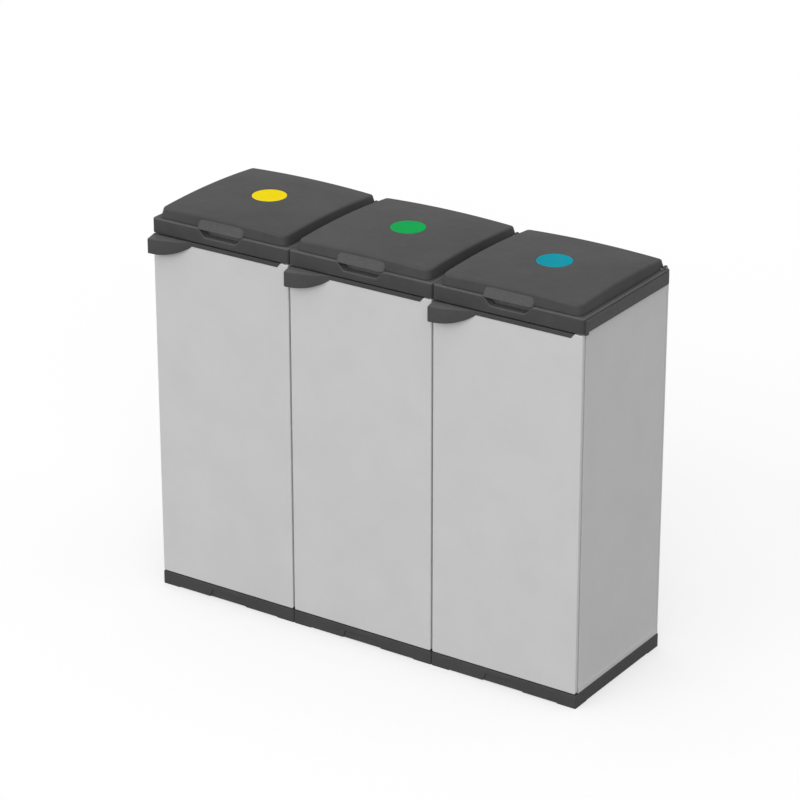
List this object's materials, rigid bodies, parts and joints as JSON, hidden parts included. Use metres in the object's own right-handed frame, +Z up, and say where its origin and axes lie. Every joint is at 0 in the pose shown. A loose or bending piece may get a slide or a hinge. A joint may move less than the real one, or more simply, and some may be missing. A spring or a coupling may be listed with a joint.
{
  "type": "recycling cabinet",
  "caption": "Row of moulded resin sorting bays with plinths, pale front doors on vertical pins, ringed sack mouths and crowned dark lids with colour discs that hinge up at the back.",
  "frame": {"origin": "on the floor under the middle of the whole row's box, handles and end rail included", "axes": "+X along the row to the right as seen from the front, +Y to the back, so the doors face -Y, +Z up"},
  "size_m": [1.0242, 0.349, 0.8546],
  "materials": {
    "charcoal_resin": "fine-grained moulded resin, charcoal",
    "light_grey_resin": "smooth satin moulded resin, light grey",
    "zinc_plated_steel": "bright zinc-plated steel",
    "yellow_disc": "smooth yellow plastic disc",
    "green_disc": "smooth green plastic disc",
    "blue_disc": "smooth blue plastic disc"
  },
  "bodies": {
    "cabinet": {"plinth_1": "charcoal_resin", "side_panel_left_1": "light_grey_resin", "side_panel_right_1": "light_grey_resin", "back_panel_1": "light_grey_resin", "top_frame_1": "charcoal_resin", "bag_ring_1": "charcoal_resin", "lid_pin_left_1": "zinc_plated_steel", "lid_pin_right_1": "zinc_plated_steel", "door_pin_top_1": "zinc_plated_steel", "door_pin_bottom_1": "zinc_plated_steel", "door_catch_1": "charcoal_resin", "plinth_2": "charcoal_resin", "side_panel_left_2": "light_grey_resin", "side_panel_right_2": "light_grey_resin", "back_panel_2": "light_grey_resin", "top_frame_2": "charcoal_resin", "bag_ring_2": "charcoal_resin", "lid_pin_left_2": "zinc_plated_steel", "lid_pin_right_2": "zinc_plated_steel", "door_pin_top_2": "zinc_plated_steel", "door_pin_bottom_2": "zinc_plated_steel", "door_catch_2": "charcoal_resin", "plinth_3": "charcoal_resin", "side_panel_left_3": "light_grey_resin", "side_panel_right_3": "light_grey_resin", "back_panel_3": "light_grey_resin", "top_frame_3": "charcoal_resin", "bag_ring_3": "charcoal_resin", "lid_pin_left_3": "zinc_plated_steel", "lid_pin_right_3": "zinc_plated_steel", "door_pin_top_3": "zinc_plated_steel", "door_pin_bottom_3": "zinc_plated_steel", "door_catch_3": "charcoal_resin"},
    "lid_1": {"lid_1": "charcoal_resin", "lid_disc_1": "yellow_disc"},
    "door_1": {"door_1": "light_grey_resin", "door_handle_1": "charcoal_resin", "strike_plate_1": "zinc_plated_steel"},
    "lid_2": {"lid_2": "charcoal_resin", "lid_disc_2": "green_disc"},
    "door_2": {"door_2": "light_grey_resin", "door_handle_2": "charcoal_resin", "strike_plate_2": "zinc_plated_steel"},
    "lid_3": {"lid_3": "charcoal_resin", "lid_disc_3": "blue_disc"},
    "door_3": {"door_3": "light_grey_resin", "door_handle_3": "charcoal_resin", "strike_plate_3": "zinc_plated_steel"}
  },
  "joints": [
    {"name": "lid_hinge_1", "type": "hinge", "parent": "cabinet", "child": "lid_1", "pos_m": [-0.3424, 0.1665, 0.8265], "axis": [-1, 0, 0], "range_deg": [0, 95]},
    {"name": "door_hinge_1", "type": "hinge", "parent": "cabinet", "child": "door_1", "pos_m": [-0.1804, -0.1475, 0.0312], "axis": [0, 0, 1], "range_deg": [0, 95]},
    {"name": "lid_hinge_2", "type": "hinge", "parent": "cabinet", "child": "lid_2", "pos_m": [-0.0024, 0.1665, 0.8265], "axis": [-1, 0, 0], "range_deg": [0, 95]},
    {"name": "door_hinge_2", "type": "hinge", "parent": "cabinet", "child": "door_2", "pos_m": [0.1596, -0.1475, 0.0312], "axis": [0, 0, 1], "range_deg": [0, 95]},
    {"name": "lid_hinge_3", "type": "hinge", "parent": "cabinet", "child": "lid_3", "pos_m": [0.3376, 0.1665, 0.8265], "axis": [-1, 0, 0], "range_deg": [0, 95]},
    {"name": "door_hinge_3", "type": "hinge", "parent": "cabinet", "child": "door_3", "pos_m": [0.4996, -0.1475, 0.0312], "axis": [0, 0, 1], "range_deg": [0, 95]}
  ]
}
